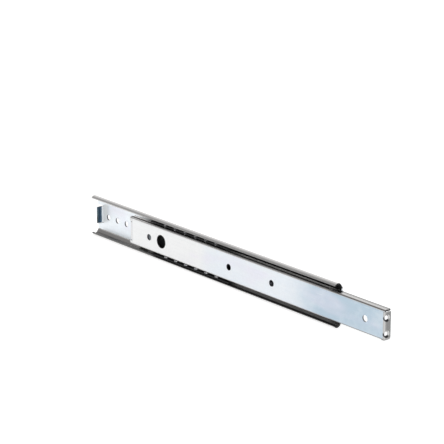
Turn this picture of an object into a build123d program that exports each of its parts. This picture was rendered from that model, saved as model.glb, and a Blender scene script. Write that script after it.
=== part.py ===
from build123d import *
from math import atan2, cos, degrees, radians, sin, sqrt, tan
import os

# A telescopic slide rail with two members: a fixed outer rail, an extending inner rail,
# and a plastic cage that carries two rows of steel balls between them.
# Millimetres. X runs along the slide and +X is the way it extends.
# The outer rail's back face, which is screwed to the cabinet, is the plane Y = 0.
# The open side of the slide faces -Y. The origin is at mid length and mid height.

# Cross section of the slide
slide_height = 35.3
slide_depth = 8.8
sheet = 1.2
ball_diameter = 4.76
ball_inset = 4.9
race_clearance = 0.06
race_rear_angle = 35
lip_angle = 157
web_bend = 1.5
inner_bend = 2.1
rim_angle = -52

# Outer rail
outer_length = 304
stop_tab_top = 8.4
stop_tab_bottom = -5.8
stop_tab_setback = 5.4
stop_tab_reach = 5.5
stop_tab_gap = 0.6
tab_bend = 1.0
cabinet_hole = 4.8
cabinet_hole_pitch = 12.6
rear_hole_setback = 14.7
rear_hole_count = 3
front_hole_setback = 64
front_hole_count = 2
stop_button_diameter = 6
stop_button_height = 1.1
stop_button_recess = 0.9

# Inner rail, with its places measured back from its front face
inner_length = 302
rest_reach = 53
drawer_hole = 5.3
drawer_hole_places = (20, 123, 174, 276)
access_hole = 11.4
access_hole_place = 260
end_flange_top = 9.7
end_flange_bottom = -11.6
end_flange_depth = 6.6
end_flange_corner = 1.6
end_flange_bend = 1.5
panel_hole = 3.2
panel_sink = 5.4
panel_sink_angle = 90
panel_hole_heights = (5.3, -7.1)
panel_hole_inset = 2.8
catch_height = 15
catch_gap = 1.0
catch_clearance = 0.5

# Ball cage
cage_sheet = 0.7
cage_clearance = 0.35
cage_rib = 0.5
pocket_clearance = 0.08
ball_pitch = 13
balls_in_row = 6
ball_sides = 20
cage_end_margin = 17.4
cage_start = 27.1
stop_rib_height = 14
stop_rib_depth = 3.3
stop_rib_thickness = 1.6

# Travel, counted from the half open position that is modelled
opening_travel = 150
stop_contact = 0.3

# Places across the slide, worked out from the sizes above
ball_radius = ball_diameter / 2
race_radius = ball_radius + race_clearance
outer_race_radius = race_radius + sheet
ball_height = slide_height / 2 - outer_race_radius
ball_place = (-ball_inset, ball_height)
web_face = -sheet
front_face = -slide_depth
cage_back = web_face - cage_clearance
cage_face = cage_back - cage_sheet

# Places along the slide
outer_rear = -outer_length / 2
outer_front = outer_length / 2
inner_front = outer_front + rest_reach
inner_rear = inner_front - inner_length
cage_length = ball_pitch * (balls_in_row - 1) + 2 * cage_end_margin
cage_rear = inner_rear + cage_start
cage_front = cage_rear + cage_length
stop_rib_place = inner_rear + sheet + opening_travel / 2 + stop_contact
first_ball = cage_rear + cage_end_margin


def point_on(center, radius, angle):
    """The point at an angle in degrees on a circle."""
    return (center[0] + radius * cos(radians(angle)), center[1] + radius * sin(radians(angle)))


def bent_strip(corner, along, toward, tip_y, radius, bottom, height):
    """A strip of sheet that leaves a web along X and turns a right angle to reach tip_y.

    The corner is where its outside faces would meet, and radius is the outside of the bend.
    """
    x, y = corner
    root = x + along * (radius + sheet)
    inside_x = x + along * sheet
    inside_y = y + toward * sheet
    with BuildPart() as strip:
        with BuildSketch(Plane.XY.offset(bottom)):
            with BuildLine():
                outside = FilletPolyline((root, y), (x, y), (x, tip_y), radius=radius)
                inside = FilletPolyline(
                    (root, inside_y), (inside_x, inside_y), (inside_x, tip_y), radius=radius - sheet)
                Line(outside @ 0, inside @ 0)
                Line(outside @ 1, inside @ 1)
            make_face()
        extrude(amount=height)
    return strip.part


# Outer rail: a sheet channel whose edges curl round the two ball rows.
race_rear = point_on(ball_place, race_radius, race_rear_angle)
flare = (web_face - race_rear[0]) / tan(radians(race_rear_angle))
web_top = (web_face, race_rear[1] - flare)
tab_face = outer_rear + stop_tab_setback + sheet
stop_button_place = cage_front + opening_travel / 2 + stop_contact + stop_button_diameter / 2
rear_first = outer_rear + rear_hole_setback
rear_holes = [rear_first + i * cabinet_hole_pitch for i in range(rear_hole_count)]
front_last = outer_front - front_hole_setback
front_holes = [front_last - i * cabinet_hole_pitch for i in range(front_hole_count)]

outer_tab = bent_strip(
    (tab_face - sheet, 0), 1, -1, web_face - stop_tab_reach, tab_bend + sheet,
    stop_tab_bottom, stop_tab_top - stop_tab_bottom,
)

with BuildPart() as outer_rail:
    with BuildSketch(Plane.YZ.offset(outer_rear)):
        with BuildLine():
            FilletPolyline((web_face, 0), web_top, race_rear, radius=web_bend)
            CenterArc(ball_place, race_radius, race_rear_angle, lip_angle - race_rear_angle)
            offset(amount=sheet, side=Side.RIGHT)
        make_face()
        mirror(about=Plane.XZ)
    extrude(amount=outer_length)
    # The notch that the rear stop tab is bent out of
    with BuildSketch(Plane.XZ):
        with Locations((outer_rear, stop_tab_bottom - stop_tab_gap)):
            notch_length = stop_tab_setback + sheet + tab_bend
            notch_height = stop_tab_top - stop_tab_bottom + 2 * stop_tab_gap
            Rectangle(notch_length, notch_height, align=(Align.MIN, Align.MIN))
    extrude(amount=sheet, mode=Mode.SUBTRACT)
    add(outer_tab)
    # Cabinet screw holes
    with Locations([Plane.XZ.offset(sheet) * Pos(x, 0) for x in rear_holes + front_holes]):
        Hole(cabinet_hole / 2)
    # The button pressed out of the web near the front, which stops the cage
    with BuildSketch(Plane.XZ.offset(sheet)):
        with Locations((stop_button_place, 0)):
            Circle(stop_button_diameter / 2)
    extrude(amount=stop_button_height)
    with BuildSketch(Plane.XZ):
        with Locations((stop_button_place, 0)):
            Circle(stop_button_diameter / 2)
    extrude(amount=stop_button_recess, mode=Mode.SUBTRACT)
outer_rail.part.label = "outer_rail"


# Inner rail: a sheet channel, its flanges grooved for the balls.
bend_center_y = front_face + inner_bend
bend_reach = inner_bend + race_radius
bend_center_z = ball_height - sqrt(bend_reach**2 - (-ball_inset - bend_center_y) ** 2)
bend_center = (bend_center_y, bend_center_z)
bend_angle = degrees(atan2(ball_height - bend_center_z, -ball_inset - bend_center_y))

end_flange = bent_strip(
    (inner_front, front_face), -1, 1, front_face + end_flange_depth, end_flange_bend,
    end_flange_bottom, end_flange_top - end_flange_bottom,
)
catch_tip = cage_face - catch_clearance
rear_catch = bent_strip(
    (inner_rear, front_face), 1, 1, catch_tip, end_flange_bend,
    -catch_height / 2, catch_height,
)

with BuildPart() as inner_rail:
    with BuildSketch(Plane.YZ.offset(inner_rear)):
        with BuildLine():
            Line((front_face, 0), (front_face, bend_center_z))
            CenterArc(bend_center, inner_bend, 180, bend_angle - 180)
            CenterArc(ball_place, race_radius, bend_angle - 180, rim_angle + 180 - bend_angle)
            offset(amount=sheet, side=Side.RIGHT)
        make_face()
        mirror(about=Plane.XZ)
    extrude(amount=inner_length)
    # The web and the lower flange stop short of the front, where the end flange turns back
    with BuildSketch(Plane.XZ.offset(slide_depth)):
        with Locations((inner_front, bend_center_z)):
            Rectangle(end_flange_bend, slide_height, align=(Align.MAX, Align.MAX))
    extrude(amount=-slide_depth, mode=Mode.SUBTRACT)
    add(end_flange)
    # The slits beside the catch, which is bent back at the rear
    with BuildSketch(Plane.XZ.offset(slide_depth)):
        with Locations((inner_rear, 0)):
            slit_height = catch_height + 2 * catch_gap
            Rectangle(end_flange_bend + sheet, slit_height, align=(Align.MIN, Align.CENTER))
    extrude(amount=-sheet, mode=Mode.SUBTRACT)
    add(rear_catch)
    # The end flange's rounded lower corner and its two countersunk panel holes
    corner = inner_rail.edges().filter_by(Axis.X).filter_by_position(
        Axis.Z, end_flange_bottom, end_flange_bottom).sort_by(Axis.Y)[-1]
    fillet(corner, end_flange_corner)
    panel_hole_middle = (inner_front, front_face + panel_hole_inset, 0)
    flange_plane = Plane(origin=panel_hole_middle, x_dir=(0, 1, 0), z_dir=(1, 0, 0))
    with Locations([flange_plane * Pos(0, z) for z in panel_hole_heights]):
        CounterSinkHole(panel_hole / 2, panel_sink / 2, depth=sheet, counter_sink_angle=panel_sink_angle)
    # Drawer screw holes, and the larger hole that lets a screwdriver reach the cabinet screws
    with Locations([Plane.XZ.offset(slide_depth) * Pos(inner_front - d, 0) for d in drawer_hole_places]):
        Hole(drawer_hole / 2, depth=sheet)
    with Locations(Plane.XZ.offset(slide_depth) * Pos(inner_front - access_hole_place, 0)):
        Hole(access_hole / 2, depth=sheet)
inner_rail.part.label = "inner_rail"


# Ball cage: one channel of black plastic strip, with a round pocket for each ball.
strip_top = ball_height + cage_sheet / 2
slope = radians(race_rear_angle)
slope_point = (race_rear[0] - cage_clearance * cos(slope), race_rear[1] - cage_clearance * sin(slope))
shoulder_y = slope_point[0] + (slope_point[1] - strip_top) * tan(slope)
shoulder_z = slope_point[1] - (cage_back - slope_point[0]) / tan(slope)
pocket_radius = ball_radius + pocket_clearance
strip_front = -ball_inset - pocket_radius - cage_rib
ball_xs = [first_ball + i * ball_pitch for i in range(balls_in_row)]

with BuildPart() as ball_cage:
    with BuildSketch(Plane.YZ.offset(cage_rear)):
        with BuildLine():
            Polyline((cage_back, 0), (cage_back, shoulder_z), (shoulder_y, strip_top), (strip_front, strip_top))
            offset(amount=cage_sheet, side=Side.LEFT, kind=Kind.INTERSECTION)
        make_face()
        mirror(about=Plane.XZ)
    extrude(amount=cage_length)
    with BuildSketch(Plane.XY):
        with Locations([(x, -ball_inset) for x in ball_xs]):
            Circle(pocket_radius)
    extrude(amount=slide_height / 2, both=True, mode=Mode.SUBTRACT)
    # The rib that the inner rail's catch pushes when the slide is opened all the way
    with BuildSketch(Plane.YZ.offset(stop_rib_place)):
        with Locations((cage_back, 0)):
            Rectangle(cage_sheet + stop_rib_depth, stop_rib_height, align=(Align.MAX, Align.CENTER))
    extrude(amount=stop_rib_thickness)
ball_cage.part.label = "ball_cage"


os.makedirs("parts", exist_ok=True)
export_step(outer_rail.part, "parts/outer_rail.step")
export_step(inner_rail.part, "parts/inner_rail.step")
export_step(ball_cage.part, "parts/ball_cage.step")

# The balls: one row above and one below, each ball a piece of its own.
# A ball is cut with flats whose corners lie on the true sphere, which keeps twelve of them light.
side_angle = 360 / ball_sides
flat_radius = ball_radius * cos(radians(side_angle / 2)) ** 2

with BuildPart() as ball:
    Box(ball_diameter, ball_diameter, ball_diameter)
    for turn in range(ball_sides // 2):
        with BuildSketch(Plane.XZ.rotated((0, 0, turn * side_angle))):
            RegularPolygon(flat_radius, ball_sides, major_radius=False, rotation=side_angle / 2)
        extrude(amount=ball_diameter, both=True, mode=Mode.INTERSECT)

for row, height in (("upper", ball_height), ("lower", -ball_height)):
    for number, x in enumerate(ball_xs, start=1):
        placed_ball = Pos(x, -ball_inset, height) * ball.part
        placed_ball.label = f"{row}_ball_{number}"
        export_step(placed_ball, f"parts/{row}_ball_{number}.step")
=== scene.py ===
import bmesh
import bpy
from collections import namedtuple
from functools import partial, reduce
from math import cos, radians, sin
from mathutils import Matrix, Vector


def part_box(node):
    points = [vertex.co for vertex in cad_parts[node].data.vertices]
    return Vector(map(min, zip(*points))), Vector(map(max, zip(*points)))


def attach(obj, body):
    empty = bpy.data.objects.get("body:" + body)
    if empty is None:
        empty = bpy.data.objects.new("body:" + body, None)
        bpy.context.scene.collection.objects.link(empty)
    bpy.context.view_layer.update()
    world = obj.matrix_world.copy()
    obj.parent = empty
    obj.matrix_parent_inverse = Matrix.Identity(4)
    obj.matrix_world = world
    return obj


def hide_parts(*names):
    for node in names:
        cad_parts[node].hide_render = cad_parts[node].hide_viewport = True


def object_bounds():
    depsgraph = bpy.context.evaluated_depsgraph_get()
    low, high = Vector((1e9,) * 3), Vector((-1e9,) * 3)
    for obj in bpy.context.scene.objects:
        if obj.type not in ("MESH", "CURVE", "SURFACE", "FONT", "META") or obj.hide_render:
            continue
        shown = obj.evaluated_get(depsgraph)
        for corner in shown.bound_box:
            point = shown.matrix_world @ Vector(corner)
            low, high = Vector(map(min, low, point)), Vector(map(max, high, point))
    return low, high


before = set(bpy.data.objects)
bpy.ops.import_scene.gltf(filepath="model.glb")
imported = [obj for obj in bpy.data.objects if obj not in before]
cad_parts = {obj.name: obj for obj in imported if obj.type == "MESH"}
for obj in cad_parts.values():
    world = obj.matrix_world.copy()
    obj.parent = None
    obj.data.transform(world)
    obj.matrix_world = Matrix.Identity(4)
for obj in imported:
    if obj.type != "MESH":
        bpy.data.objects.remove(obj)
cad_low, cad_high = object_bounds()
MM = 0.001


def band(start, end, origin=0.0):
    """Where a change starts and where it ends, in millimetres from origin."""
    return origin + start * MM, origin + end * MM


def moved(limits, origin):
    return [origin + limit for limit in limits]


# X runs along the rails, heights are along Z from their middle, and insets along Y from the mounting face.
# The frame gives the boxes, and the rails' sections the other places.
OUTER_LOW, OUTER_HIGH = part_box("outer_rail")
INNER_LOW, INNER_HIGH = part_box("inner_rail")
TAB_END = OUTER_LOW.x + 6.9 * MM
WEB_HALF = 11 * MM
BALL_RADIUS = 2.38 * MM
BALL_HEIGHT = 14.01 * MM
BALL_INSET = -4.9 * MM
SINK_HEIGHTS = (5.3 * MM, -7.1 * MM)
SINK_INSET = -6.0 * MM

# The camera stands where the photograph's perspective puts it.
PHOTO_WIDTH = 444
FOCAL_PIXELS = 1875.9
SENSOR_WIDTH = 36.0
CAMERA_AZIMUTH = radians(49.88)
CAMERA_ELEVATION = radians(17.20)
CAMERA_FROM_INNER_FRONT = Vector((0.89808, -0.91023, 0.47272))


def make_camera():
    data = bpy.data.cameras.new("camera")
    camera = bpy.data.objects.new("camera", data)
    bpy.context.scene.collection.objects.link(camera)
    data.sensor_width = SENSOR_WIDTH
    data.lens = FOCAL_PIXELS / PHOTO_WIDTH * SENSOR_WIDTH
    data.clip_start, data.clip_end = 0.05, 50.0
    back = Vector((
        sin(CAMERA_AZIMUTH) * cos(CAMERA_ELEVATION),
        -cos(CAMERA_AZIMUTH) * cos(CAMERA_ELEVATION),
        sin(CAMERA_ELEVATION),
    ))
    camera.rotation_mode = "QUATERNION"
    camera.rotation_quaternion = (-back).to_track_quat("-Z", "Y")
    camera.location = Vector((INNER_HIGH.x, INNER_LOW.y, 0)) + CAMERA_FROM_INNER_FRONT
    bpy.context.scene.camera = camera


BUMP_DEPTH = 0.02 * MM


class Graph:
    """Short names for the shader nodes that the materials are built from."""

    def __init__(self, tree):
        self.tree = tree

    def node(self, kind, **settings):
        node = self.tree.nodes.new(kind)
        for name, value in settings.items():
            setattr(node, name, value)
        return node

    def put(self, socket, value):
        """Link a socket to another, or set its own value."""
        if isinstance(value, bpy.types.NodeSocket):
            self.tree.links.new(value, socket)
        else:
            socket.default_value = value

    def math(self, operation, first, second=0.0, third=0.0, clamp=False):
        node = self.node("ShaderNodeMath", operation=operation, use_clamp=clamp)
        for socket, value in zip(node.inputs, (first, second, third)):
            self.put(socket, value)
        return node.outputs[0]

    def product(self, *values):
        return reduce(partial(self.math, "MULTIPLY"), values)

    def largest(self, *values):
        return reduce(partial(self.math, "MAXIMUM"), values)

    def absolute(self, value):
        return self.math("ABSOLUTE", value)

    def rest_of(self, value):
        """What is left of 1."""
        return self.math("SUBTRACT", 1.0, value)

    def distance(self, across, above):
        squares = self.math("ADD", self.product(across, across), self.product(above, above))
        return self.math("SQRT", squares)

    def place(self, scale=(1, 1, 1)):
        """The point on the piece in its own metres, stretched by scale."""
        coordinate = self.node("ShaderNodeTexCoord")
        mapping = self.node("ShaderNodeMapping")
        self.put(mapping.inputs["Vector"], coordinate.outputs["Object"])
        mapping.inputs["Scale"].default_value = scale
        return mapping.outputs[0]

    def normal(self):
        """The direction that the surface faces, in the piece's own axes."""
        return self.node("ShaderNodeTexCoord").outputs["Normal"]

    def axes(self, vector):
        node = self.node("ShaderNodeSeparateXYZ")
        self.put(node.inputs[0], vector)
        return node.outputs

    def noise(self, scale, detail=3.0, rough=0.5, stretch=(1, 1, 1)):
        node = self.node("ShaderNodeTexNoise")
        self.put(node.inputs["Vector"], self.place(stretch))
        node.inputs["Scale"].default_value = scale
        node.inputs["Detail"].default_value = detail
        node.inputs["Roughness"].default_value = rough
        return node.outputs[0]

    def between(self, value, limits, start=0.0, end=1.0):
        """Go smoothly from start to end as the value goes through the limits, and hold the ends."""
        node = self.node("ShaderNodeMapRange", interpolation_type="SMOOTHSTEP")
        self.put(node.inputs["Value"], value)
        for name, number in zip(("From Min", "From Max", "To Min", "To Max"), (*limits, start, end)):
            node.inputs[name].default_value = number
        return node.outputs[0]

    def rise(self, value, limits, most=1.0):
        return self.between(value, limits, 0.0, most)

    def fall(self, value, limits, most=1.0):
        return self.between(value, limits, most, 0.0)

    def blend(self, factor, first, second):
        node = self.node("ShaderNodeMix", data_type="RGBA", blend_type="MIX")
        self.put(node.inputs["Factor"], factor)
        for socket, value in ((node.inputs["A"], first), (node.inputs["B"], second)):
            self.put(socket, (*value, 1) if isinstance(value, tuple) else value)
        return node.outputs["Result"]

    def bump(self, height, strength, normal=None):
        node = self.node("ShaderNodeBump")
        self.put(node.inputs["Height"], height)
        node.inputs["Strength"].default_value = strength
        node.inputs["Distance"].default_value = BUMP_DEPTH
        if normal:
            self.put(node.inputs["Normal"], normal)
        return node.outputs[0]


def new_material(name):
    material = bpy.data.materials.new(name)
    material.use_nodes = True
    graph = Graph(material.node_tree)
    return material, graph, material.node_tree.nodes["Principled BSDF"]


# The passivation film on the webs
BARE_ZINC = (0.855, 0.86, 0.86)
CLEAR_FILM = (0.90, 0.955, 1.0)
THIN_FILM = (0.74, 0.81, 0.89)
BLUE_FILM = (0.49, 0.60, 0.69)
VIOLET_FILM = (0.80, 0.76, 0.86)
NOISE_BULK = (0.30, 0.70)
PATCH_EDGE = (0.36, 0.66)
PATCH_LEVELS = (0.78, 1.12)
TINT_EDGE = (0.52, 0.72)
TINT_MOST = 0.38
INNER_THIN_FILM = band(-10, 12)
INNER_THIN_MOST = 0.5
INNER_BLUE_FILM = band(94, 150)


def film_patches(graph):
    """The film comes in long uneven patches."""
    patches = graph.between(graph.noise(22, detail=2, stretch=(0.5, 1, 1.6)), PATCH_EDGE, *PATCH_LEVELS)
    speckle = graph.between(graph.noise(170, rough=0.6, stretch=(0.6, 1, 1)), NOISE_BULK, *PATCH_LEVELS)
    return graph.product(patches, speckle)


def add_violet(graph, color):
    tints = graph.rise(graph.noise(48, detail=2, stretch=(0.45, 1, 1.4)), TINT_EDGE, TINT_MOST)
    return graph.blend(tints, color, VIOLET_FILM)


def outer_film(graph):
    """A nearly clear film along the whole rail."""
    return add_violet(graph, graph.blend(film_patches(graph), BARE_ZINC, CLEAR_FILM))


def inner_film(graph):
    """No film at the rear, a thin one from the middle on and a blue one towards the front."""
    x = graph.axes(graph.place())["X"]
    patches = film_patches(graph)
    thin = graph.product(graph.rise(x, INNER_THIN_FILM, INNER_THIN_MOST), patches)
    blue = graph.math("MULTIPLY", graph.rise(x, INNER_BLUE_FILM), patches, clamp=True)
    color = graph.blend(thin, BARE_ZINC, THIN_FILM)
    return add_violet(graph, graph.blend(blue, color, BLUE_FILM))


# The ball races lie round the balls' centres, and where the cage runs, dark grease with painted shade
# covers them.
DRY_UPPER_RACE = (0.72, 0.71, 0.70)
LOWER_RACE_SHADE = (0.38, 0.37, 0.365)
RACE_REACH = band(2.50, 2.62)
MIDLINE = band(-1, 1)
CAGE_RUN_REAR = band(-85, -62)
GREASE_SHADE_THINS = band(10, 45)
NEAR_LIP = band(-4.2, -2.9)
GREASE_SHADE_FADE = band(-12, 0)
OUTER_MOUTH = band(-14, 0, OUTER_HIGH.x)
UPPER_THINNING = 0.5
THINNING_AT_LIP = 0.1
MATT_RACE = 0.6


def ball_races(graph, x, y, z, height, grease_shade_end):
    """Where the races are, their colour with painted shade on the lower race, where dark grease and
    painted shade cover them and where they are matt.
    """
    across = graph.math("SUBTRACT", y, BALL_INSET)
    above = graph.math("SUBTRACT", height, BALL_HEIGHT)
    race = graph.fall(graph.distance(across, above), RACE_REACH)
    upper = graph.rise(z, MIDLINE)
    thinning = graph.rise(x, GREASE_SHADE_THINS)
    # Behind where the grease thins, the lower race is painted darker as painted shade.
    race_color_and_shade = graph.blend(graph.largest(upper, thinning), LOWER_RACE_SHADE, DRY_UPPER_RACE)
    # The grease and painted shade thin out towards the front, on the lower race more and by its lip less.
    lower_thinning = graph.product(graph.rest_of(upper), graph.between(y, NEAR_LIP, THINNING_AT_LIP, 1.0))
    thinned = graph.product(thinning, graph.largest(graph.product(upper, UPPER_THINNING), lower_thinning))
    grease_and_shade_run = graph.product(graph.rise(x, CAGE_RUN_REAR), graph.fall(x, moved(GREASE_SHADE_FADE, grease_shade_end)))
    grease = graph.product(race, grease_and_shade_run, graph.rest_of(thinned))
    matt = graph.product(race, thinning, graph.fall(x, OUTER_MOUTH, MATT_RACE))
    return race, race_color_and_shade, grease, matt


# The zinc's grain, scratches and sheared edges
GRAIN_GREY = (0.35, 0.37, 0.40)
GRAIN_EDGE = (0.2, 0.8)
GRAIN_MOST = 0.07
SCRATCH_WHITE = (0.97, 0.97, 0.97)
SCRATCH_EDGE = (0.70, 0.76)
SCRATCH_MOST = 0.3
SCRATCH_DEPTH = -0.4
DULL_EDGE = (0.42, 0.43, 0.45)
EDGE_RADIUS = 0.25 * MM
EDGE_TURN = (0.80, 0.99)
EDGE_MOST = 0.45


def plating_grain(graph):
    """Cloudy grain of the plating, and the lines that the rolls left along the strip."""
    cloud = graph.rise(graph.noise(520, detail=5, rough=0.65), NOISE_BULK)
    lines = graph.rise(graph.noise(900, detail=4, rough=0.7, stretch=(0.012, 1, 1)), NOISE_BULK)
    return graph.math("MULTIPLY_ADD", lines, 0.5, graph.math("MULTIPLY", cloud, 0.5))


def sheared_edges(graph):
    """A normal that rounds the sheared edges off, and a mask of those edges."""
    soft = graph.node("ShaderNodeBevel", samples=6)
    soft.inputs["Radius"].default_value = EDGE_RADIUS
    turn = graph.node("ShaderNodeVectorMath", operation="DOT_PRODUCT")
    graph.put(turn.inputs[0], soft.outputs[0])
    graph.put(turn.inputs[1], graph.node("ShaderNodeNewGeometry").outputs["Normal"])
    return soft.outputs[0], graph.fall(turn.outputs["Value"], EDGE_TURN)


# The zinc sheet: the film ends near the web's edge and faces, and the holes' walls inside WALL_END.
ROLLED_ZINC = (0.90, 0.885, 0.875)
SHEARED_STEEL_SHADE = (0.16, 0.16, 0.17)
GREASE_AND_SHADE = (0.014, 0.014, 0.014)
FILM_BY_EDGE = band(-0.3, 0.5)
FILM_BY_FACE = band(-1.5, -0.5)
FILM_BY_BACK = band(0.5, 1.5)
SIDE_ON = (0.2, 0.4)
WALL_END = band(-0.2, 0, WEB_HALF)
SHEET_IOR = 1.2
ZINC_ROUGHNESS = 0.13
GREASE_ROUGHNESS = 0.65
GRAIN_ROUGHNESS = 0.10
GRAIN_RELIEF = 0.25

Spots = namedtuple("Spots", "x y z height facing on_web wall")


def zinc_sheet(name, film, marks, dullness, scatter, web_edge, web_face, web_back, grease_shade_end):
    """Rolled steel sheet, zinc plated, with a passivation film on its flat web."""
    material, graph, shader = new_material(name)
    x, y, z = graph.axes(graph.place())
    facing = graph.axes(graph.normal())
    height = graph.absolute(z)
    # The rolled edges are rubbed: the film is gone there, and the zinc is warmer.
    on_web = graph.product(
        graph.fall(height, moved(FILM_BY_EDGE, web_edge)),
        graph.rise(y, moved(FILM_BY_FACE, web_face)),
        graph.fall(y, moved(FILM_BY_BACK, web_back)))
    color = graph.blend(on_web, ROLLED_ZINC, film(graph))
    race, race_tone_and_shade, race_grease_and_shade, matt_race = ball_races(graph, x, y, z, height, grease_shade_end)
    color = graph.blend(race, color, race_tone_and_shade)
    grain = plating_grain(graph)
    color = graph.blend(graph.fall(grain, GRAIN_EDGE, GRAIN_MOST), color, GRAIN_GREY)
    # Fine scratches from handling, nearly along the rail
    scratch = graph.rise(graph.noise(700, detail=2, stretch=(0.05, 1, 1.1)), SCRATCH_EDGE)
    color = graph.blend(graph.math("MULTIPLY", scratch, SCRATCH_MOST), color, SCRATCH_WHITE)
    soft_normal, edge = sheared_edges(graph)
    color = graph.blend(graph.math("MULTIPLY", edge, EDGE_MOST), color, DULL_EDGE)
    # The walls of the holes and cut-outs in the web are bare sheared steel, painted dark as shade.
    wall = graph.product(
        graph.fall(graph.absolute(facing["Y"]), SIDE_ON),
        graph.fall(height, WALL_END),
        graph.rise(y, (web_face - 0.1 * MM, web_face)),
        graph.fall(y, (web_back, web_back + 0.1 * MM)))
    color = graph.blend(wall, color, SHEARED_STEEL_SHADE)
    color, edge_grease_and_shade, matt = marks(graph, color, Spots(x, y, z, height, facing, on_web, wall))
    # Dark grease, which also stands in as painted shade in the gaps between the parts, covers the races,
    # lips and bends.
    grease = graph.largest(race_grease_and_shade, edge_grease_and_shade)
    graph.put(shader.inputs["Base Color"], graph.blend(grease, color, GREASE_AND_SHADE))
    shader.inputs["IOR"].default_value = SHEET_IOR
    # The film on the web scatters some light, and what is matt or under the grease and painted shade
    # doesn't shine as metal.
    metallic = graph.math("MULTIPLY_ADD", on_web, -scatter, 1.0)
    matt = graph.largest(matt, grease, matt_race)
    graph.put(shader.inputs["Metallic"], graph.product(metallic, graph.rest_of(matt)))
    roughness = graph.math("MULTIPLY_ADD", on_web, dullness, ZINC_ROUGHNESS)
    roughness = graph.math("MULTIPLY_ADD", grease, GREASE_ROUGHNESS, roughness)
    graph.put(shader.inputs["Roughness"], graph.math("MULTIPLY_ADD", grain, GRAIN_ROUGHNESS, roughness))
    relief = graph.math("MULTIPLY_ADD", scratch, SCRATCH_DEPTH, grain)
    graph.put(shader.inputs["Normal"], graph.bump(relief, GRAIN_RELIEF, soft_normal))
    return material


END_FACE_SHADE = (0.05, 0.05, 0.05)
END_FACING = (0.75, 0.9)


def shade_end_faces(graph, color, spots, flanges):
    """Painted shade darkens the end faces of the rolled flanges."""
    at_end = graph.rise(graph.absolute(spots.facing["X"]), END_FACING)
    return graph.blend(graph.product(graph.rise(spots.height, flanges), at_end), color, END_FACE_SHADE)


# The outer rail's tab, its matt zone, its free edges and its lower side
TAB_DEEP_REFLECTION = (0.045, 0.08, 0.12)
TAB_REFLECTION = (0.26, 0.35, 0.45)
TAB_RIM_REFLECTION = (0.105, 0.15, 0.175)
TAB_TOP_SHADE = (0.012, 0.014, 0.018)
MATT_PAINTED_LIGHT = (0.96, 0.99, 1.0)
UNDERSIDE_SHADE = (0.14, 0.135, 0.13)
TAB_FRONT = band(0, 0.4, TAB_END)
TAB_HALF = band(9.0, 9.4)
TAB_ROOT = band(-1.8, -1.6)
TAB_SHADE = band(-4.2, -1.9)
TAB_RIM_INSET = band(-6.1, -5.7)
FACING_UP = (0.4, 0.7)
FREE_EDGE = band(15.8, 16.1)
LIP_INSET = band(-6.5, -6.0)
LOWER_LIP_GREASE_SHADE = 0.75
BORDER_EDGE = band(10.5, 11.0)
BORDER_INSET = band(-3.8, -3.4)
FACING_FRONT = (-0.3, -0.1)
LOWER_TURN = band(-12.9, -12.3)
TURN_INSET = band(-3.6, -3.2)
UNDERSIDE_EDGE = band(-17.2, -15.0)
UNDERSIDE_MOST = 0.85
OUTER_FLANGES = band(12.4, 12.7)
MATT_SLOPE = 0.4
MATT_LENGTH = band(5, 8, TAB_END)
MATT_FOOT = band(-7.0, -6.0)
MATT_HEAD = band(8.2, 9.2)
MATT_MOST = 0.9


def outer_marks(graph, color, spots):
    """A tab painted dark blue as a painted reflection, painted shade on the lower turn and lower side, and
    free edges darkened by grease and painted shade.
    """
    x, y, z = spots.x, spots.y, spots.z
    # The tab is painted dark blue as a painted reflection, darker away from the web, with a lighter rim
    # and painted shade on its top.
    tab = graph.blend(graph.rise(y, TAB_SHADE), TAB_DEEP_REFLECTION, TAB_REFLECTION)
    tab = graph.blend(graph.fall(y, TAB_RIM_INSET), tab, TAB_RIM_REFLECTION)
    tab = graph.blend(graph.rise(spots.facing["Z"], FACING_UP), tab, TAB_TOP_SHADE)
    on_tab = graph.product(
        graph.fall(y, TAB_ROOT), graph.fall(x, TAB_FRONT), graph.fall(spots.height, TAB_HALF))
    color = graph.blend(on_tab, color, tab)
    # Where the cage runs, dark grease and painted shade cover the lips' free edges and the web's border
    # behind the inner rail. On the lower lip a thinner layer of it goes on to the rear end.
    upper = graph.rise(z, MIDLINE)
    run = graph.rise(x, CAGE_RUN_REAR)
    lip_run = graph.largest(run, graph.math("MULTIPLY_ADD", upper, -LOWER_LIP_GREASE_SHADE, LOWER_LIP_GREASE_SHADE))
    lip = graph.product(graph.fall(spots.height, FREE_EDGE), graph.fall(y, LIP_INSET), lip_run)
    border = graph.product(
        upper, graph.rise(z, BORDER_EDGE), graph.rise(y, BORDER_INSET),
        graph.fall(spots.facing["Y"], FACING_FRONT), run)
    # Painted shade darkens the lower race's turn next to the web.
    turn = graph.product(graph.fall(z, LOWER_TURN), graph.rise(y, TURN_INSET))
    color = graph.blend(turn, color, LOWER_RACE_SHADE)
    # Painted shade darkens the underside of the lower lip.
    color = graph.blend(graph.fall(z, UNDERSIDE_EDGE, UNDERSIDE_MOST), color, UNDERSIDE_SHADE)
    color = shade_end_faces(graph, color, spots, OUTER_FLANGES)
    # Beside the tab, between two slanting lines, the web is matt and paler: painted light in place of the
    # tab's dark reflection.
    level = graph.math("MULTIPLY_ADD", x, -MATT_SLOPE, graph.math("ADD", z, MATT_SLOPE * TAB_END))
    matt = graph.product(
        spots.on_web, graph.fall(x, MATT_LENGTH, MATT_MOST), graph.fall(level, MATT_HEAD),
        graph.rise(level, MATT_FOOT), graph.rest_of(spots.wall))
    return graph.blend(matt, color, MATT_PAINTED_LIGHT), graph.largest(lip, border), matt


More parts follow.
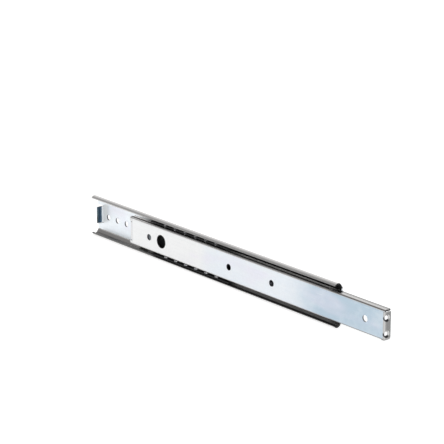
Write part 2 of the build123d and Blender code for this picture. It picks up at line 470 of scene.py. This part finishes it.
# The inner rail's bends, end flange and sinks
LOW_BEND_SHADE = (0.22, 0.215, 0.21)
BEND_REFLECTION_LINE = (0.27, 0.26, 0.25)
FLANGE_FACE_SHADE = (0.60, 0.60, 0.595)
FLANGE_BEND_SHADE = (0.50, 0.50, 0.495)
FLANGE_FOOT_SHADE = (0.20, 0.20, 0.20)
REAR_BAND = (0.60, 0.60, 0.61)
SINK_LIGHT = (0.55, 0.55, 0.545)
SINK_SHADE = (0.055, 0.055, 0.06)
BURR_SHADOW = (0.07, 0.07, 0.075)
LOW_BEND_EDGE = band(-11.0, -10.2)
LOW_BEND_MOST = 0.85
LOW_MATT_EDGE = band(-10.8, -10.0)
LOW_MATT_MOST = 0.8
LIP_COVER = band(-9, -2, OUTER_HIGH.x)
BEND_HEIGHT = band(10.6, 11.0)
BEND_FRONT = band(-7.6, -7.2)
BEND_BACK = band(-5.4, -5.0)
LINE_FOOT = band(10.9, 11.2)
LINE_HEAD = band(11.6, 11.9)
LINE_INSET = band(-7.8, -7.6)
LINE_MOST = 0.75
INNER_FLANGES = band(10.6, 10.9)
FLANGE_ROOT = band(-1.7, -1.2, INNER_HIGH.x)
FLANGE_HEAD = band(10.4, 10.6)
FLANGE_TURN = (0.50, 0.95)
FOOT_EDGE = band(-11.5, -10.9)
FOOT_MOST = 0.7
REAR_EDGE = band(3.6, 4.2, INNER_LOW.x)
REAR_MOST = 0.35
SINK_TILT = (-0.3, 0.2)
SINK_REACH = band(2.7, 2.8)
SINK_SLANT = (0.80, 0.95)
BURR_REACH = band(2.85, 3.1)
BURR_SIDE = band(-2.4, -0.8)


def inner_marks(graph, color, spots):
    """An end flange painted grey as painted shade, sinks with painted shade and light, painted shade on
    the lower bend, a painted dark reflection on the upper bend and a darker band at the rear end.
    """
    x, y, z = spots.x, spots.y, spots.z
    # Painted shade darkens the lower bend from near the outer rail's front end on.
    low_bend_shade = graph.product(graph.fall(z, LOW_BEND_EDGE, LOW_BEND_MOST), graph.rise(x, OUTER_MOUTH))
    color = graph.blend(low_bend_shade, color, LOW_BEND_SHADE)
    # Inside the outer rail, dark grease and painted shade cover the back of each bend, where the ball
    # groove begins.
    back = graph.product(
        graph.rise(y, BEND_FRONT), graph.fall(y, BEND_BACK), graph.rise(spots.height, BEND_HEIGHT),
        graph.fall(x, LIP_COVER))
    # A painted dark reflection runs along the free part of the upper bend.
    reflection_line = graph.product(
        graph.rise(z, LINE_FOOT), graph.fall(z, LINE_HEAD), graph.fall(y, LINE_INSET, LINE_MOST),
        graph.rise(x, LIP_COVER))
    color = graph.blend(reflection_line, color, BEND_REFLECTION_LINE)
    color = shade_end_faces(graph, color, spots, INNER_FLANGES)
    # The end flange is painted grey as painted shade, darker on its bend and darkest along its foot.
    flange = graph.rise(x, FLANGE_ROOT)
    flange_shade = graph.blend(graph.fall(spots.facing["X"], FLANGE_TURN), FLANGE_FACE_SHADE, FLANGE_BEND_SHADE)
    color = graph.blend(graph.product(flange, graph.fall(z, FLANGE_HEAD)), color, flange_shade)
    color = graph.blend(graph.product(flange, graph.fall(z, FOOT_EDGE, FOOT_MOST)), color, FLANGE_FOOT_SHADE)
    # A darker band runs along the rear end.
    color = graph.blend(graph.fall(x, REAR_EDGE, REAR_MOST), color, REAR_BAND)
    # Each sink has painted shade on the side towards the web and below, and painted light on the other.
    tilt = graph.math("ADD", spots.facing["Y"], spots.facing["Z"])
    sink_shading = graph.blend(graph.rise(tilt, SINK_TILT), SINK_LIGHT, SINK_SHADE)
    slanted = graph.fall(spots.facing["X"], SINK_SLANT)
    across = graph.math("SUBTRACT", y, SINK_INSET)
    for height in SINK_HEIGHTS:
        above = graph.math("SUBTRACT", z, height)
        reach = graph.distance(across, above)
        inside = graph.product(graph.fall(reach, SINK_REACH), flange, slanted)
        color = graph.blend(inside, color, sink_shading)
        # A painted shadow darkens the burr of the sink on the same side.
        side = graph.fall(graph.math("ADD", across, above), BURR_SIDE)
        color = graph.blend(graph.product(graph.fall(reach, BURR_REACH), side, flange), color, BURR_SHADOW)
    return color, back, graph.fall(z, LOW_MATT_EDGE, LOW_MATT_MOST)


PLASTIC_DARK = (0.010, 0.010, 0.011)
PLASTIC_PALE = (0.022, 0.022, 0.023)
PLASTIC_IOR = 1.3
PLASTIC_RELIEF = 0.2
PLASTIC_GREASE_EDGE = (0.45, 0.65)
PLASTIC_ROUGHNESS = (0.52, 0.30)


def cage_plastic(name):
    """Black moulded plastic with a faint grain and a film of grease."""
    material, graph, shader = new_material(name)
    grain = graph.noise(1500, rough=0.6)
    grease = graph.rise(graph.noise(140, rough=0.6, stretch=(0.5, 1, 1)), PLASTIC_GREASE_EDGE)
    graph.put(shader.inputs["Base Color"], graph.blend(grain, PLASTIC_DARK, PLASTIC_PALE))
    shader.inputs["IOR"].default_value = PLASTIC_IOR
    graph.put(shader.inputs["Roughness"], graph.between(grease, (0, 1), *PLASTIC_ROUGHNESS))
    graph.put(shader.inputs["Normal"], graph.bump(grain, PLASTIC_RELIEF))
    return material


BALL_POLISH_SHADE = (0.34, 0.34, 0.35)
BALL_SCUFF_SHADE = (0.24, 0.24, 0.25)
BALL_ROUGHNESS = (0.26, 0.42)
SCUFF_EDGE = (0.52, 0.70)


def ball_steel(name):
    """Hardened and polished steel, with the fine scuffs that rolling leaves, its colour darkened as
    painted shade.
    """
    material, graph, shader = new_material(name)
    scuffs = graph.rise(graph.noise(2600, detail=4, rough=0.7, stretch=(0.3, 1, 1)), SCUFF_EDGE)
    graph.put(shader.inputs["Base Color"], graph.blend(scuffs, BALL_POLISH_SHADE, BALL_SCUFF_SHADE))
    shader.inputs["Metallic"].default_value = 1.0
    graph.put(shader.inputs["Roughness"], graph.between(scuffs, (0, 1), *BALL_ROUGHNESS))
    return material


def smooth_ball(node, material):
    """A true round ball where the CAD model has one with flat sides."""
    low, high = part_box(node)
    mesh = bpy.data.meshes.new(f"{node}_round")
    form = bmesh.new()
    bmesh.ops.create_uvsphere(form, u_segments=32, v_segments=18, radius=BALL_RADIUS)
    bmesh.ops.translate(form, verts=form.verts, vec=(low + high) / 2)
    for face in form.faces:
        face.smooth = True
    form.to_mesh(mesh)
    form.free()
    ball = bpy.data.objects.new(f"{node}_round", mesh)
    bpy.context.scene.collection.objects.link(ball)
    mesh.materials.append(material)
    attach(ball, "cage")
    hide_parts(node)


def flat_card(name, x_limits, y_limits, height):
    """A level rectangle that belongs to the stage."""
    (near, far), (front, back) = x_limits, y_limits
    corners = [(x, y, height) for x, y in ((near, front), (far, front), (far, back), (near, back))]
    mesh = bpy.data.meshes.new(name)
    mesh.from_pydata(corners, [], [(0, 1, 2, 3)])
    card = bpy.data.objects.new(name, mesh)
    bpy.context.scene.collection.objects.link(card)
    return card


def stage_material(card, name):
    """An empty material on the card, and the socket that its surface goes to."""
    material = bpy.data.materials.new(name)
    material.use_nodes = True
    material.node_tree.nodes.clear()
    card.data.materials.append(material)
    graph = Graph(material.node_tree)
    return graph, graph.node("ShaderNodeOutputMaterial").inputs["Surface"]


def seen_directly(graph):
    """1 for rays from the camera, and for those that mirror or pass through the object."""
    path = graph.node("ShaderNodeLightPath")
    seen = graph.math("ADD", path.outputs["Is Camera Ray"], path.outputs["Is Glossy Ray"])
    return graph.math("ADD", seen, path.outputs["Is Transmission Ray"], clamp=True)


FLOOR_LIMITS = (-4.0, 4.0)
FLOOR_COLOR = 0.80
FLOOR_LIFT = 0.62


def make_floor():
    floor = flat_card("floor", FLOOR_LIMITS, FLOOR_LIMITS, min(cad_low[2], 0))
    graph, surface = stage_material(floor, "pale_floor")
    diffuse = graph.node("ShaderNodeBsdfDiffuse")
    diffuse.inputs["Color"].default_value = (FLOOR_COLOR, FLOOR_COLOR, FLOOR_COLOR, 1)
    lift = graph.node("ShaderNodeEmission")
    graph.put(lift.inputs["Strength"], graph.math("MULTIPLY", seen_directly(graph), FLOOR_LIFT))
    pale = graph.node("ShaderNodeAddShader")
    graph.put(pale.inputs[0], diffuse.outputs[0])
    graph.put(pale.inputs[1], lift.outputs[0])
    # From below, the floor is clear, so that the underside can be looked at.
    under = graph.node("ShaderNodeMixShader")
    graph.put(under.inputs[0], graph.node("ShaderNodeNewGeometry").outputs["Backfacing"])
    graph.put(under.inputs[1], pale.outputs[0])
    graph.put(under.inputs[2], graph.node("ShaderNodeBsdfTransparent").outputs[0])
    graph.put(surface, under.outputs[0])


CARD_LIFT = 0.3 * MM
CARD_LIMITS = band(8, 160, INNER_HIGH.x)
CARD_LEVEL = 0.45


def make_reflection_card():
    """A grey card that only mirrors see, lying beside the open end as a photographer's flag does."""
    card = flat_card("card_right", CARD_LIMITS, (0, CARD_LIMITS[1]), cad_low[2] + CARD_LIFT)
    graph, surface = stage_material(card, "card_right")
    shade = graph.node("ShaderNodeEmission")
    shade.inputs["Strength"].default_value = CARD_LEVEL
    graph.put(surface, shade.outputs[0])
    card.visible_camera = False
    card.visible_diffuse = False
    card.visible_shadow = False


# Each pair of levels is the world's brightness below and above the rise beside it.
FRONT_LEVELS = (0.95, 0.27)
FRONT_RISE = (0.21, 0.55)
BACK_LEVELS = (0.95, 0.5)
BACK_RISE = (0.2, 0.9)
FRONT_TO_BACK = (-0.45, 0.40)


def make_world():
    """The front of the studio is dark above the object, and the back is a pale wall."""
    world = bpy.data.worlds.new("studio")
    bpy.context.scene.world = world
    world.use_nodes = True
    graph = Graph(world.node_tree)
    toward = graph.axes(graph.node("ShaderNodeTexCoord").outputs["Generated"])
    front = graph.between(toward["Z"], FRONT_RISE, *FRONT_LEVELS)
    back = graph.between(toward["Z"], BACK_RISE, *BACK_LEVELS)
    behind = graph.rise(toward["Y"], FRONT_TO_BACK)
    background = world.node_tree.nodes["Background"]
    background.inputs["Color"].default_value = (1, 1, 1, 1)
    level = graph.math("MULTIPLY_ADD", behind, graph.math("SUBTRACT", back, front), front)
    graph.put(background.inputs["Strength"], level)


SUN_DIRECTION = Vector((0.57, -0.70, 0.60))
SUN_STRENGTH = 0.9
SUN_SPREAD = radians(30)


def make_sun():
    data = bpy.data.lights.new("key", "SUN")
    data.energy = SUN_STRENGTH
    data.angle = SUN_SPREAD
    sun = bpy.data.objects.new("key", data)
    bpy.context.scene.collection.objects.link(sun)
    sun.rotation_mode = "QUATERNION"
    sun.rotation_quaternion = SUN_DIRECTION.to_track_quat("Z", "Y")


make_camera()
# The outer rail's races carry grease and painted shade to their ends, and the inner rail's only as far as
# the cage runs.
outer_zinc = zinc_sheet(
    "outer_zinc", outer_film, outer_marks, dullness=0.25, scatter=0.10,
    web_edge=12.6 * MM, web_face=-1.25 * MM, web_back=0.1 * MM, grease_shade_end=OUTER_HIGH.x + 20 * MM)
inner_zinc = zinc_sheet(
    "inner_zinc", inner_film, inner_marks, dullness=0.22, scatter=0.04,
    web_edge=10.6 * MM, web_face=INNER_LOW.y - 0.1 * MM, web_back=-7.55 * MM, grease_shade_end=46 * MM)
steel = ball_steel("polished_steel")
finishes = {"outer_rail": outer_zinc, "inner_rail": inner_zinc, "ball_cage": cage_plastic("black_plastic")}
for name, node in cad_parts.items():
    node.data.materials.clear()
    node.data.materials.append(finishes.get(name, steel))
    if name not in finishes:
        smooth_ball(name, steel)

make_floor()
make_reflection_card()
make_world()
make_sun()
bpy.context.scene.view_settings.view_transform = "Standard"
